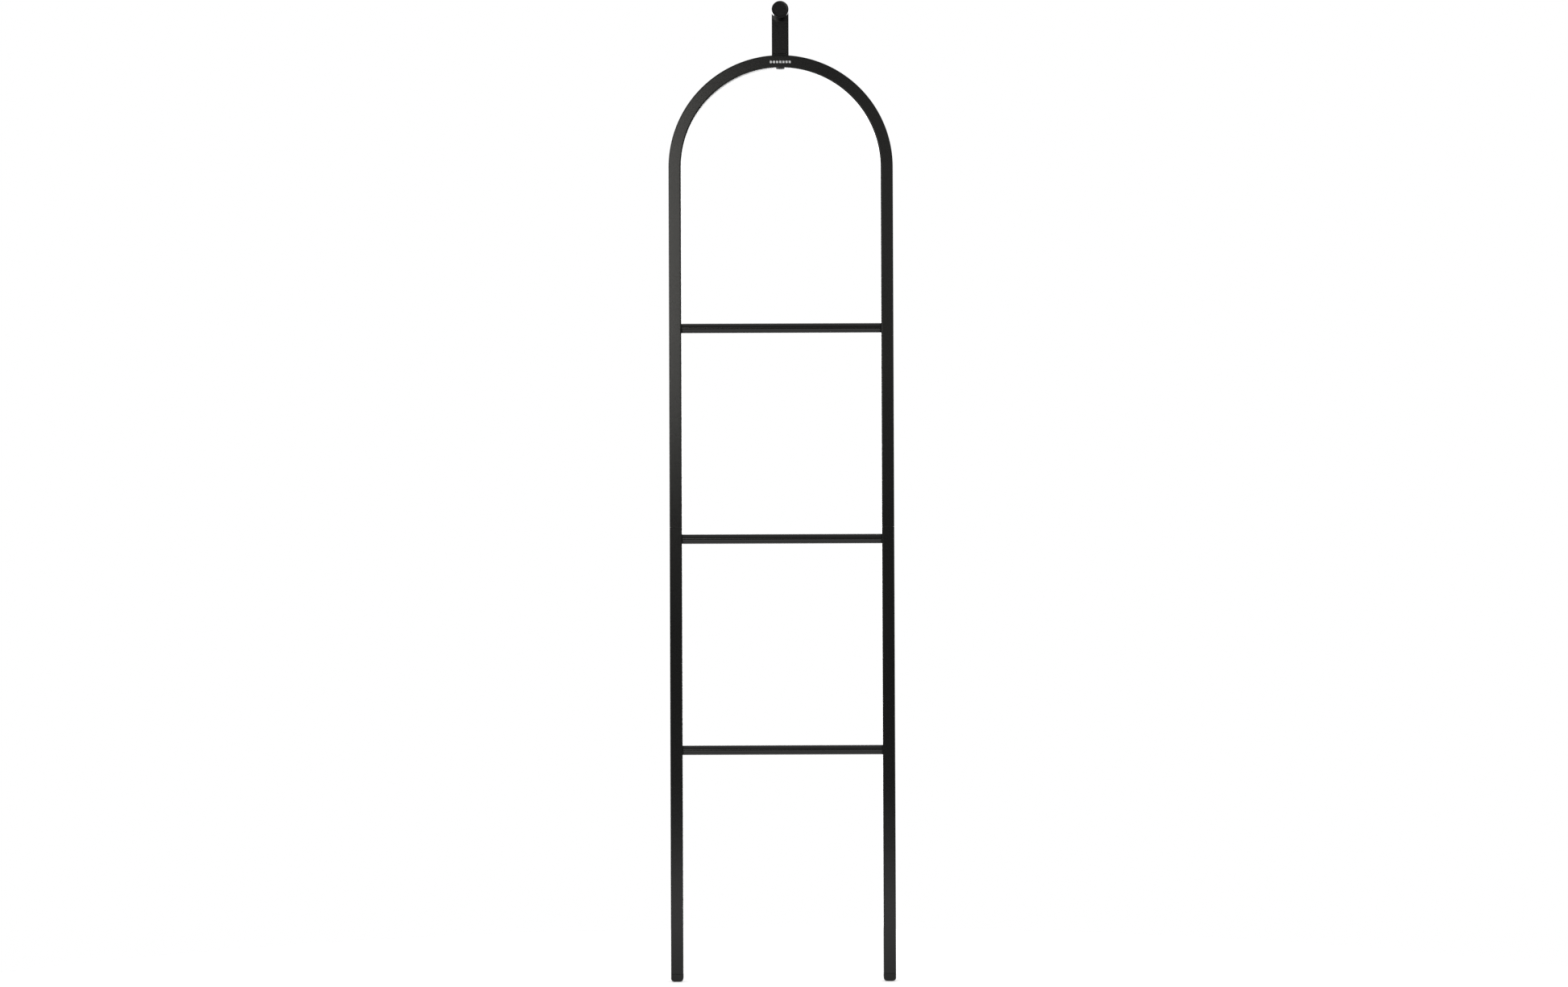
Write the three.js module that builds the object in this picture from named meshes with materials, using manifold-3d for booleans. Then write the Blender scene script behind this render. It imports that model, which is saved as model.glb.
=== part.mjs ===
// An arched towel ladder that leans on a wall: a square-tube frame in two halves with
// a round top, three round rungs, and a coat peg on a short post at the crown.
//
// Millimetres. +Z is up, -Y is the front and +Y is the wall side. The origin is on the
// floor, midway between the feet, in the middle plane of the frame.

import * as THREE from "three";
import { mergeVertices } from "three/addons/utils/BufferGeometryUtils.js";
import Module from "manifold-3d";

const wasm = await Module();
wasm.setup();

// ---------------------------------------------------------------- driving dimensions

const gap = 0.3; // air between two pieces that touch

const overallWidth = 400;
const overallDepth = 72; // front of the peg to the face of the wall pad
const springHeight = 1450; // where the straight legs turn into the round top
const splitHeight = 808; // where the two halves of the frame meet
const hoopTurns = 48; // flats around the half circle of the top

const tube = { side: 22, wall: 1.2, corner: 2 };

const rung = { diameter: 17, wall: 1 };
const rungHeights = { top_rung: 1163, middle_rung: 787, bottom_rung: 411 };

const spigot = { length: 120, wall: 1.5, corner: 1.7, fastenerOffset: 32 };
const rivet = { shank: 4, tail: 5.4, tailLength: 2.4, head: 8, headFlat: 2.6, domeHeight: 1.4 };
const jointScrew = { thread: 5, head: 9.5, headFlat: 5.3, headHeight: 2.6, rim: 0.5, tipDepth: 9 };
const jointSocket = { across: 3, depth: 1.7 };
const jointNut = { across: 8, height: 4 };

const foot = { height: 14, edgeRadius: 6.5, stemHeight: 32, stemSide: 11, stemCorner: 1 };
const fin = { count: 4, height: 1.5, topInset: 0.5 };

const post = { width: 30, depth: 14, edge: 0.8, boreDepth: 20 };
const pegHeight = 1728; // height of the peg's axis
const saddleHeight = 2; // above the top of the crown

const postBolt = { thread: 6, head: 15, headHeight: 1.2, headEdge: 0.8, length: 39.5, clearance: 0.5 };
const postBoltSocket = { across: 4, depth: 2.6 };
const postBoltDrop = 0.5; // the crown is concave below, so the head's rim touches first
const postInsert = { diameter: 8.5, length: 17, edge: 0.4, setback: 0.5 };

const peg = { diameter: 30, edge: 0.8, boreDepth: 20 };
const spacer = { edge: 1.5, shoulderDepth: 12.4, counterbore: 12 };
const hookScrew = { thread: 6, head: 11, headHeight: 4, reach: 18 };
const hookSocket = { across: 4, depth: 2.2 };
const wallPad = { diameter: 27, thickness: 2.7, edge: 1, stemLength: 7.3 };

const tipChamfer = 0.6; // on the end of every screw and bolt, and round the hook screw's head
const cornerFacets = 2; // flats on each rounded corner of a tube
const pegFacets = 48; // flats round the peg, the spacer and the wall pad
const rearDrillLength = 8; // passes the rear wall of a leg and of the spigot in it
const weldDistance = 1e-4; // vertices nearer than this are one

// ---------------------------------------------------------------- derived dimensions

const legX = (overallWidth - tube.side) / 2;
const tubeHalf = tube.side / 2;
const boreSide = tube.side - 2 * tube.wall;
const crownTop = springHeight + overallWidth / 2;
const crownUnderside = crownTop - tube.side;
const spigotSide = boreSide - 2 * gap;
const rivetHeight = splitHeight + spigot.fastenerOffset;
const screwHeight = splitHeight - spigot.fastenerOffset;
const boltHoleRadius = postBolt.thread / 2 + postBolt.clearance;
const saddleTop = crownTop + saddleHeight;
const postBottom = saddleTop + gap;
const pegFront = -overallDepth / 2;
const pegBack = -post.depth / 2 - gap;
const spacerFront = post.depth / 2 + gap;
const padFace = overallDepth / 2;
const padBack = padFace - wallPad.thickness;
const spacerBack = padBack - gap;
const spacerShoulder = spacerFront + spacer.shoulderDepth;
const sides = { left: -1, right: 1 };

// ---------------------------------------------------------------- materials

function finish(name, color, roughness, metalness) {
  return new THREE.MeshStandardMaterial({ name, color, roughness, metalness });
}

const blackCoat = finish("black_powder_coat", 0x1e1e1d, 0.5, 0.1);
const zincSteel = finish("zinc_plated_steel", 0x9a9c9e, 0.4, 1);
const blackSteel = finish("blackened_steel", 0x242424, 0.45, 0.6);
const brass = finish("brass", 0xb08d45, 0.35, 1);
const blackPlastic = finish("black_plastic", 0x1b1b1b, 0.6, 0);
const blackRubber = finish("black_rubber", 0x161616, 0.85, 0);

// ---------------------------------------------------------------- solids

// A closed geometry as a solid that can be joined and cut.
function solidOf(geometry) {
  const bare = geometry.clone();
  bare.deleteAttribute("normal");
  bare.deleteAttribute("uv");
  const merged = mergeVertices(bare, weldDistance);
  return new wasm.Manifold(
    new wasm.Mesh({
      numProp: 3,
      vertProperties: new Float32Array(merged.attributes.position.array),
      triVerts: new Uint32Array(merged.index.array),
    }),
  );
}

function geometryOf(solid) {
  const mesh = solid.getMesh();
  const indexed = new THREE.BufferGeometry();
  indexed.setAttribute("position", new THREE.BufferAttribute(mesh.vertProperties, 3));
  indexed.setIndex(new THREE.BufferAttribute(mesh.triVerts, 1));
  const flat = indexed.toNonIndexed();
  flat.computeVertexNormals();
  return flat;
}

function cut(geometry, ...cutters) {
  const left = cutters.reduce((body, cutter) => body.subtract(solidOf(cutter)), solidOf(geometry));
  return geometryOf(left);
}

function join(geometry, ...others) {
  const whole = others.reduce((body, other) => body.add(solidOf(other)), solidOf(geometry));
  return geometryOf(whole);
}

function common(geometry, ...others) {
  const shared = others.reduce((body, other) => body.intersect(solidOf(other)), solidOf(geometry));
  return geometryOf(shared);
}

// ---------------------------------------------------------------- outlines and cutters

function roundedSquare(side, corner) {
  const flat = side / 2 - corner;
  const outline = new THREE.Shape();
  outline.absarc(flat, flat, corner, 0, Math.PI / 2);
  outline.absarc(-flat, flat, corner, Math.PI / 2, Math.PI);
  outline.absarc(-flat, -flat, corner, Math.PI, 1.5 * Math.PI);
  outline.absarc(flat, -flat, corner, 1.5 * Math.PI, 2 * Math.PI);
  outline.closePath();
  return outline;
}

function squareTubeSection(side, wall, corner) {
  const section = roundedSquare(side, corner);
  section.holes.push(roundedSquare(side - 2 * wall, corner - wall));
  return section;
}

// A straight bar of the given section from one height to another.
function upright(section, bottom, top) {
  const bar = new THREE.ExtrudeGeometry(section, {
    depth: top - bottom,
    bevelEnabled: false,
    curveSegments: cornerFacets,
  });
  return bar.translate(0, 0, bottom);
}

// A front-view outline (x across, y up) made as thick as depth, centred on the frame's plane.
function plate(outline, depth, edge, curveSegments) {
  const slab = new THREE.ExtrudeGeometry(outline, {
    depth: depth - 2 * edge,
    bevelEnabled: edge > 0,
    bevelThickness: edge,
    bevelSize: edge,
    bevelOffset: -edge,
    bevelSegments: 3,
    curveSegments,
  });
  return slab.translate(0, 0, edge - depth / 2).rotateX(Math.PI / 2);
}

// A body turned about the Y axis from [radius, y] points.
function turned(profile, facets = 32) {
  return new THREE.LatheGeometry(profile.map(([radius, y]) => new THREE.Vector2(radius, y)), facets);
}

// Quarter-round points between two directions, for the edges of turned bodies.
function roundEdge(centreRadius, centreY, edge, fromAngle, toAngle, pieces = 4) {
  return Array.from({ length: pieces + 1 }, (_, index) => {
    const angle = fromAngle + ((toAngle - fromAngle) * index) / pieces;
    return [centreRadius + edge * Math.cos(angle), centreY + edge * Math.sin(angle)];
  });
}

// Points of a low dome about the Y axis, from its rim to its flat top.
function domePoints(rimRadius, rimY, flatRadius, topY, pieces = 3) {
  return Array.from({ length: pieces + 1 }, (_, index) => {
    const angle = ((Math.PI / 2) * index) / pieces;
    const radius = flatRadius + (rimRadius - flatRadius) * Math.cos(angle);
    return [radius, rimY + (topY - rimY) * Math.sin(angle)];
  });
}

// A round cutter along Y, or along Z when stood up.
function drill(radius, length, facets = 24) {
  return new THREE.CylinderGeometry(radius, radius, length, facets);
}

// A six-sided prism along Y, sized across its flats.
function hexPrism(acrossFlats, length) {
  return drill(acrossFlats / Math.sqrt(3), length, 6);
}

// ---------------------------------------------------------------- frame tubes

// The line of the hoop: up the left leg, over the round top in equal turns, down the right leg.
class HoopLine extends THREE.Curve {
  constructor(radius, springZ, footZ, turns) {
    super();
    Object.assign(this, { radius, springZ, footZ, turns, stations: turns + 2 });
  }

  angleAt(u) {
    const station = Math.round(u * this.stations);
    return (Math.PI * THREE.MathUtils.clamp(station - 1, 0, this.turns)) / this.turns;
  }

  getPointAt(u, target = new THREE.Vector3()) {
    const angle = this.angleAt(u);
    const atFoot = u === 0 || u === 1;
    const z = atFoot ? this.footZ : this.springZ + this.radius * Math.sin(angle);
    return target.set(-this.radius * Math.cos(angle), 0, z);
  }

  getTangentAt(u, target = new THREE.Vector3()) {
    const angle = this.angleAt(u);
    return target.set(Math.sin(angle), 0, Math.cos(angle));
  }
}

// A hole through one rear wall of a leg, at the given height.
function rearHole(x, height, diameter) {
  return drill(diameter / 2, rearDrillLength).translate(x, tubeHalf, height);
}

function upperHoop() {
  const line = new HoopLine(legX, springHeight, splitHeight + gap / 2, hoopTurns);
  const bent = new THREE.ExtrudeGeometry(squareTubeSection(tube.side, tube.wall, tube.corner), {
    extrudePath: line,
    steps: line.stations,
    curveSegments: cornerFacets,
  });
  const boltHole = drill(boltHoleRadius, 2 * tube.side).rotateX(Math.PI / 2);
  boltHole.translate(0, 0, crownTop - tubeHalf);
  const rivetHoles = Object.values(sides).map((side) =>
    rearHole(side * legX, rivetHeight, rivet.shank + 2 * gap),
  );
  return cut(bent, boltHole, ...rivetHoles);
}

function lowerRail() {
  const section = squareTubeSection(tube.side, tube.wall, tube.corner);
  const rail = upright(section, foot.height + gap, splitHeight - gap / 2);
  return cut(rail, rearHole(0, screwHeight, jointScrew.thread + 2 * gap));
}

function rungTube() {
  const outer = rung.diameter / 2;
  const inner = outer - rung.wall;
  const half = overallWidth / 2 - tube.side - gap;
  const loop = [
    [inner, -half],
    [outer, -half],
    [outer, half],
    [inner, half],
    [inner, -half],
  ];
  return turned(loop).rotateZ(Math.PI / 2);
}

// ---------------------------------------------------------------- joint between the halves

function jointSpigot() {
  const half = spigot.length / 2;
  const section = squareTubeSection(spigotSide, spigot.wall, spigot.corner);
  const sleeve = upright(section, splitHeight - half, splitHeight + half);
  return cut(
    sleeve,
    rearHole(0, rivetHeight, rivet.shank + 2 * gap),
    rearHole(0, screwHeight, jointScrew.thread + 2 * gap),
  );
}

// A blind rivet: its tail is spread inside the spigot, its dome sits on the back of the hoop.
function spigotRivet() {
  const shank = rivet.shank / 2;
  const tail = rivet.tail / 2;
  const tailBack = spigotSide / 2 - spigot.wall - gap;
  const tailFront = tailBack - rivet.tailLength;
  const seat = tubeHalf + gap;
  const top = seat + rivet.domeHeight;
  return turned([
    [0, tailFront],
    [shank, tailFront],
    [tail, (tailFront + tailBack) / 2],
    [tail, tailBack],
    [shank, tailBack],
    [shank, seat],
    ...domePoints(rivet.head / 2, seat, rivet.headFlat / 2, top),
    [0, top],
  ]);
}

function jointScrewBody() {
  const shank = jointScrew.thread / 2;
  const seat = tubeHalf + gap;
  const top = seat + jointScrew.headHeight;
  const tip = tubeHalf - jointScrew.tipDepth;
  const head = jointScrew.head / 2;
  const body = turned([
    [0, tip],
    [shank - tipChamfer, tip],
    [shank, tip + tipChamfer],
    [shank, seat],
    [head, seat],
    ...domePoints(head, seat + jointScrew.rim, jointScrew.headFlat / 2, top),
    [0, top],
  ]);
  const socket = hexPrism(jointSocket.across, 2 * jointSocket.depth).translate(0, top, 0);
  return cut(body, socket);
}

function jointNutBody() {
  const front = spigotSide / 2 - spigot.wall - gap;
  const blank = hexPrism(jointNut.across, jointNut.height);
  const bore = drill(jointScrew.thread / 2 + gap, 2 * jointNut.height);
  return cut(blank, bore).translate(0, front - jointNut.height / 2, 0);
}

// ---------------------------------------------------------------- feet

// The outline of the domed cap seen from the front or the side: square above, round below.
function domeOutline() {
  const half = tubeHalf;
  const radius = foot.edgeRadius;
  const outline = new THREE.Shape();
  outline.moveTo(half, foot.height);
  outline.lineTo(-half, foot.height);
  outline.absarc(-half + radius, radius, radius, Math.PI, 1.5 * Math.PI);
  outline.absarc(half - radius, radius, radius, 1.5 * Math.PI, 2 * Math.PI);
  outline.closePath();
  return outline;
}

// A domed cap on a stem. Its fins are as wide as the spigots, and grip the same bore.
function footPlug() {
  const plan = upright(roundedSquare(tube.side, tube.corner), 0, foot.height);
  const front = plate(domeOutline(), 2 * tube.side, 0, 4);
  const side = plate(domeOutline(), 2 * tube.side, 0, 4).rotateZ(Math.PI / 2);
  const cap = common(plan, front, side);
  const stemTop = foot.height + foot.stemHeight;
  const overlap = 1; // the stem starts this far inside the cap, so that the two join
  const stem = upright(roundedSquare(foot.stemSide, foot.stemCorner), foot.height - overlap, stemTop);
  const finPitch = foot.stemHeight / fin.count;
  const fins = Array.from({ length: fin.count }, (_, index) => {
    const top = stemTop - index * finPitch - fin.topInset;
    return upright(roundedSquare(spigotSide, spigot.corner), top - fin.height, top);
  });
  return join(cap, stem, ...fins);
}

// ---------------------------------------------------------------- post and its fixing

function postOutline() {
  const half = post.width / 2;
  const outline = new THREE.Shape();
  outline.moveTo(-half, postBottom);
  outline.lineTo(half, postBottom);
  outline.absarc(0, pegHeight, half, 0, Math.PI);
  outline.closePath();
  return outline;
}

function hookPost() {
  const bar = plate(postOutline(), post.depth, post.edge, 12);
  const insertBore = drill(postInsert.diameter / 2 + gap, 2 * post.boreDepth).rotateX(Math.PI / 2);
  insertBore.translate(0, 0, postBottom);
  const screwHole = drill(hookScrew.thread / 2 + gap, 2 * post.depth).translate(0, 0, pegHeight);
  return cut(bar, insertBore, screwHole);
}

// The seat under the whole foot of the post: flat on top, hollowed to the crown's curve below.
function postSaddle() {
  const half = post.width / 2;
  const radius = overallWidth / 2 + gap;
  const halfAngle = Math.asin(half / radius);
  const outline = new THREE.Shape();
  outline.moveTo(half, saddleTop);
  outline.lineTo(-half, saddleTop);
  outline.absarc(0, springHeight, radius, Math.PI / 2 + halfAngle, Math.PI / 2 - halfAngle, true);
  outline.closePath();
  const seat = plate(outline, post.depth, 0, 4);
  const hole = drill(boltHoleRadius, 2 * tube.side).rotateX(Math.PI / 2);
  return cut(seat, hole.translate(0, 0, saddleTop));
}

function postInsertSleeve() {
  const outer = postInsert.diameter / 2;
  const inner = postBolt.thread / 2 + gap;
  const loop = [
    [inner, 0],
    [outer - postInsert.edge, 0],
    [outer, postInsert.edge],
    [outer, postInsert.length - postInsert.edge],
    [outer - postInsert.edge, postInsert.length],
    [inner, postInsert.length],
    [inner, 0],
  ];
  return turned(loop, 24).rotateX(Math.PI / 2).translate(0, 0, postBottom + postInsert.setback);
}

function postBoltBody() {
  const head = postBolt.head / 2;
  const shank = postBolt.thread / 2;
  const edge = postBolt.headEdge;
  const tip = postBolt.headHeight + postBolt.length;
  const body = turned([
    [0, 0],
    ...roundEdge(head - edge, edge, edge, -Math.PI / 2, 0),
    [head, postBolt.headHeight],
    [shank, postBolt.headHeight],
    [shank, tip - tipChamfer],
    [shank - tipChamfer, tip],
    [0, tip],
  ]);
  const socket = hexPrism(postBoltSocket.across, 2 * postBoltSocket.depth);
  const headBottom = crownUnderside - postBoltDrop - postBolt.headHeight;
  return cut(body, socket).rotateX(Math.PI / 2).translate(0, 0, headBottom);
}

// ---------------------------------------------------------------- peg, spacer and wall pad

function hookPeg() {
  const radius = peg.diameter / 2;
  const bore = hookScrew.thread / 2 + gap;
  return turned(
    [
      [0, pegFront],
      ...roundEdge(radius - peg.edge, pegFront + peg.edge, peg.edge, -Math.PI / 2, 0),
      [radius, pegBack],
      [bore, pegBack],
      [bore, pegBack - peg.boreDepth],
      [0, pegBack - peg.boreDepth],
    ],
    pegFacets,
  );
}

function wallSpacer() {
  const radius = peg.diameter / 2;
  const bore = hookScrew.thread / 2 + gap;
  const counterbore = spacer.counterbore / 2;
  return turned(
    [
      [bore, spacerFront],
      [radius, spacerFront],
      ...roundEdge(radius - spacer.edge, spacerBack - spacer.edge, spacer.edge, 0, Math.PI / 2),
      [counterbore, spacerBack],
      [counterbore, spacerShoulder],
      [bore, spacerShoulder],
      [bore, spacerFront],
    ],
    pegFacets,
  );
}

function hookScrewBody() {
  const shank = hookScrew.thread / 2;
  const head = hookScrew.head / 2;
  const seat = spacerShoulder + gap;
  const top = seat + hookScrew.headHeight;
  const tip = pegBack - hookScrew.reach;
  const body = turned([
    [0, tip],
    [shank - tipChamfer, tip],
    [shank, tip + tipChamfer],
    [shank, seat],
    [head, seat],
    [head, top - tipChamfer],
    [head - tipChamfer, top],
    [0, top],
  ]);
  const socket = hexPrism(hookSocket.across, 2 * hookSocket.depth);
  return cut(body, socket.translate(0, top, 0));
}

// A round rubber buffer whose stem pushes into the spacer's counterbore.
function wallPadBody() {
  const stem = spacer.counterbore / 2 - gap;
  const radius = wallPad.diameter / 2;
  return turned(
    [
      [0, padBack - wallPad.stemLength],
      [stem, padBack - wallPad.stemLength],
      [stem, padBack],
      [radius, padBack],
      ...roundEdge(radius - wallPad.edge, padFace - wallPad.edge, wallPad.edge, 0, Math.PI / 2),
      [0, padFace],
    ],
    pegFacets,
  );
}

// ---------------------------------------------------------------- assembly

const towelLadder = new THREE.Group();
towelLadder.name = "towel_ladder";

function addPiece(parent, name, geometry, material) {
  const piece = new THREE.Mesh(geometry, material);
  piece.name = name;
  parent.add(piece);
  return piece;
}

function addFrame() {
  addPiece(towelLadder, "upper_hoop", upperHoop(), blackCoat);
  for (const [name, height] of Object.entries(rungHeights)) {
    addPiece(towelLadder, name, rungTube(), blackCoat).position.z = height;
  }
}

// Everything on the line of one leg, below the hoop.
function addLeg(name, side) {
  const leg = new THREE.Group();
  leg.position.x = side * legX;
  towelLadder.add(leg);
  addPiece(leg, `${name}_lower_rail`, lowerRail(), blackCoat);
  addPiece(leg, `${name}_joint_spigot`, jointSpigot(), blackSteel);
  addPiece(leg, `${name}_spigot_rivet`, spigotRivet(), blackSteel).position.z = rivetHeight;
  addPiece(leg, `${name}_joint_screw`, jointScrewBody(), blackSteel).position.z = screwHeight;
  addPiece(leg, `${name}_joint_nut`, jointNutBody(), zincSteel).position.z = screwHeight;
  addPiece(leg, `${name}_foot_plug`, footPlug(), blackRubber);
}

function addPost() {
  addPiece(towelLadder, "hook_post", hookPost(), blackCoat);
  addPiece(towelLadder, "post_saddle", postSaddle(), blackPlastic);
  addPiece(towelLadder, "post_insert", postInsertSleeve(), brass);
  addPiece(towelLadder, "post_bolt", postBoltBody(), blackSteel);
}

function addPeg() {
  const pegAxis = new THREE.Group();
  pegAxis.position.z = pegHeight;
  towelLadder.add(pegAxis);
  addPiece(pegAxis, "hook_peg", hookPeg(), blackCoat);
  addPiece(pegAxis, "wall_spacer", wallSpacer(), blackPlastic);
  addPiece(pegAxis, "hook_screw", hookScrewBody(), zincSteel);
  addPiece(pegAxis, "wall_pad", wallPadBody(), blackRubber);
}

addFrame();
for (const [name, side] of Object.entries(sides)) {
  addLeg(name, side);
}
addPost();
addPeg();

export default towelLadder;
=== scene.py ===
import math

import bmesh
import bpy
from mathutils import Matrix, Vector


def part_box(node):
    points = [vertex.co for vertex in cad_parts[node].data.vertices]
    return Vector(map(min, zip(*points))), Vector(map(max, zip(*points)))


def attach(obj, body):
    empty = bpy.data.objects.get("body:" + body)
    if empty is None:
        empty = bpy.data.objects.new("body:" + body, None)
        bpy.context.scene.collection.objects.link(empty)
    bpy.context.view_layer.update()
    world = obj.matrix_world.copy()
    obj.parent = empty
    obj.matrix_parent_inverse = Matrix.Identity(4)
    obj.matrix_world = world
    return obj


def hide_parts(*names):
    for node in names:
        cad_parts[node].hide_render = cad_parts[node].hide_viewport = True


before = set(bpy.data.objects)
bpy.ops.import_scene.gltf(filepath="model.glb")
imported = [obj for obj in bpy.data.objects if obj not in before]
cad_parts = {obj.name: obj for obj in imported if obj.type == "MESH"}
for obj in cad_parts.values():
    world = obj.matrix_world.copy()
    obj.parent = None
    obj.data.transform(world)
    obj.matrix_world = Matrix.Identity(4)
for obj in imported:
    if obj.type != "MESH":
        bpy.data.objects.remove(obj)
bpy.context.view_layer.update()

MM = 0.001
TAU = 2 * math.pi
GAP = 0.3 * MM  # the air between pieces that touch, as in the CAD model


# ---------------------------------------------------------------- sizes from the frame

def centre(node):
    low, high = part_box(node)
    return (low + high) / 2


HOOP_LOW, HOOP_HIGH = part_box("upper_hoop")
RAIL_LOW, RAIL_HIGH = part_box("left_lower_rail")
TUBE = HOOP_HIGH.y - HOOP_LOW.y
TUBE_HALF = TUBE / 2
TUBE_WALL = 1.2 * MM
TUBE_CORNER = 2 * MM
LEG_X = HOOP_HIGH.x - TUBE_HALF
INNER_X = LEG_X - TUBE_HALF
SPRING_Z = HOOP_HIGH.z - HOOP_HIGH.x
CROWN_MIDDLE_Z = HOOP_HIGH.z - TUBE_HALF
SIDES = (("left", -1), ("right", 1))
RUNGS = ("top_rung", "middle_rung", "bottom_rung")


# ---------------------------------------------------------------- camera

# The photograph was taken from a long way off, a little under half the ladder's height.
CAMERA_PLACE = Vector((0, -6.5, 0.768))
CAMERA_PITCH = math.radians(0.88)
CAMERA_YAW = math.radians(-0.034)
CAMERA_ROLL = math.radians(-0.21)
CAMERA_LENS_MM = 83.7
SENSOR_WIDTH_MM = 36
FARTHEST_SEEN = 100


def add_camera():
    data = bpy.data.cameras.new("camera")
    data.lens = CAMERA_LENS_MM
    data.sensor_width = SENSOR_WIDTH_MM
    data.clip_end = FARTHEST_SEEN
    camera = bpy.data.objects.new("camera", data)
    yaw = Matrix.Rotation(CAMERA_YAW, 4, "Z")
    pitch = Matrix.Rotation(math.pi / 2 + CAMERA_PITCH, 4, "X")
    roll = Matrix.Rotation(CAMERA_ROLL, 4, "Z")
    camera.matrix_world = Matrix.Translation(CAMERA_PLACE) @ yaw @ pitch @ roll
    bpy.context.scene.collection.objects.link(camera)
    bpy.context.scene.camera = camera


# ---------------------------------------------------------------- materials

PEEL_DEPTH = 0.008 * MM
GRAIN_DEPTH = 0.002 * MM
STREAK_DEPTH = 0.01 * MM
SPECKLE_DEPTH = 0.01 * MM
SOFT_SPECULAR = 0.25  # coat, plastic and rubber mirror less than the shader's default


class Nodes:
    """A material's node tree, with short calls to add and join nodes."""

    def __init__(self, name):
        self.material = bpy.data.materials.new(name)
        self.material.use_nodes = True
        self.tree = self.material.node_tree
        self.shader = self.tree.nodes["Principled BSDF"]

    def add(self, kind):
        return self.tree.nodes.new(kind)

    def link(self, source, target):
        self.tree.links.new(source, target)

    def noise(self, scale, detail=2.0, roughness=0.5, streak=None):
        """A fractal pattern in the object's own space, stretched along a streak if one is given."""
        place = self.add("ShaderNodeTexCoord").outputs["Object"]
        if streak is not None:
            stretch = self.add("ShaderNodeMapping")
            stretch.inputs["Scale"].default_value = streak
            self.link(place, stretch.inputs["Vector"])
            place = stretch.outputs["Vector"]
        noise = self.add("ShaderNodeTexNoise")
        noise.inputs["Scale"].default_value = scale
        noise.inputs["Detail"].default_value = detail
        noise.inputs["Roughness"].default_value = roughness
        self.link(place, noise.inputs["Vector"])
        return noise.outputs["Fac"]

    def spread(self, source, low, high, start=0.3, stop=0.7):
        """Maps a 0..1 pattern onto low..high."""
        ramp = self.add("ShaderNodeMapRange")
        ramp.inputs["From Min"].default_value = start
        ramp.inputs["From Max"].default_value = stop
        ramp.inputs["To Min"].default_value = low
        ramp.inputs["To Max"].default_value = high
        self.link(source, ramp.inputs["Value"])
        return ramp.outputs["Result"]

    def tint(self, pattern, dark, light):
        """Lets the pattern run between two base colours."""
        mix = self.add("ShaderNodeMix")
        mix.data_type = "RGBA"
        mix.inputs["A"].default_value = (*dark, 1)
        mix.inputs["B"].default_value = (*light, 1)
        self.link(pattern, mix.inputs["Factor"])
        self.link(mix.outputs["Result"], self.shader.inputs["Base Color"])

    def bump(self, pattern, depth, previous=None):
        """Turns a pattern into relief of the given depth, on top of an earlier relief if any."""
        bump = self.add("ShaderNodeBump")
        bump.inputs["Strength"].default_value = 1.0
        bump.inputs["Distance"].default_value = depth
        self.link(pattern, bump.inputs["Height"])
        if previous is not None:
            self.link(previous, bump.inputs["Normal"])
        return bump.outputs["Normal"]


def powder_coat(name, dark, light):
    """Satin black powder coat: a very fine orange peel with a slightly uneven sheen."""
    nodes = Nodes(name)
    peel = nodes.noise(900, 2, 0.45)
    grain = nodes.noise(3600, 3, 0.6)
    drift = nodes.noise(9, 3, 0.5)
    nodes.tint(nodes.spread(drift, 0, 1), dark, light)
    nodes.link(nodes.spread(grain, 0.15, 0.21), nodes.shader.inputs["Roughness"])
    normal = nodes.bump(peel, PEEL_DEPTH)
    normal = nodes.bump(grain, GRAIN_DEPTH, normal)
    nodes.link(normal, nodes.shader.inputs["Normal"])
    nodes.shader.inputs["Specular IOR Level"].default_value = SOFT_SPECULAR
    return nodes.material


def moulded(name, dark, light, roughness, grain_scale, grain_depth):
    """Plastic or rubber out of a spark-eroded mould."""
    unevenness = 0.05
    nodes = Nodes(name)
    grain = nodes.noise(grain_scale, 4, 0.6)
    drift = nodes.noise(40, 2, 0.5)
    nodes.tint(nodes.spread(drift, 0, 1), dark, light)
    sheen = nodes.spread(grain, roughness - unevenness, roughness + unevenness)
    nodes.link(sheen, nodes.shader.inputs["Roughness"])
    nodes.link(nodes.bump(grain, grain_depth), nodes.shader.inputs["Normal"])
    nodes.shader.inputs["Specular IOR Level"].default_value = SOFT_SPECULAR
    return nodes.material


def metal(name, dark, light, roughness, metallic=1.0, streak=(1, 1, 1)):
    """Turned or drawn metal, with fine streaks where the pattern is stretched."""
    unevenness = 0.06
    nodes = Nodes(name)
    nodes.shader.inputs["Metallic"].default_value = metallic
    grain = nodes.noise(700, 3, 0.5, streak)
    nodes.tint(nodes.spread(grain, 0, 1), dark, light)
    sheen = nodes.spread(grain, roughness - unevenness, roughness + unevenness)
    nodes.link(sheen, nodes.shader.inputs["Roughness"])
    nodes.link(nodes.bump(grain, STREAK_DEPTH), nodes.shader.inputs["Normal"])
    return nodes.material


def print_ink():
    """Pale grey pad-printed ink, a little worn and speckled."""
    nodes = Nodes("print_ink")
    speckle = nodes.noise(2200, 3, 0.6)
    nodes.tint(nodes.spread(speckle, 0, 1), (0.62, 0.63, 0.63), (0.80, 0.81, 0.81))
    nodes.link(nodes.spread(speckle, 0.42, 0.55), nodes.shader.inputs["Roughness"])
    nodes.link(nodes.bump(speckle, SPECKLE_DEPTH), nodes.shader.inputs["Normal"])
    return nodes.material


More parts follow.
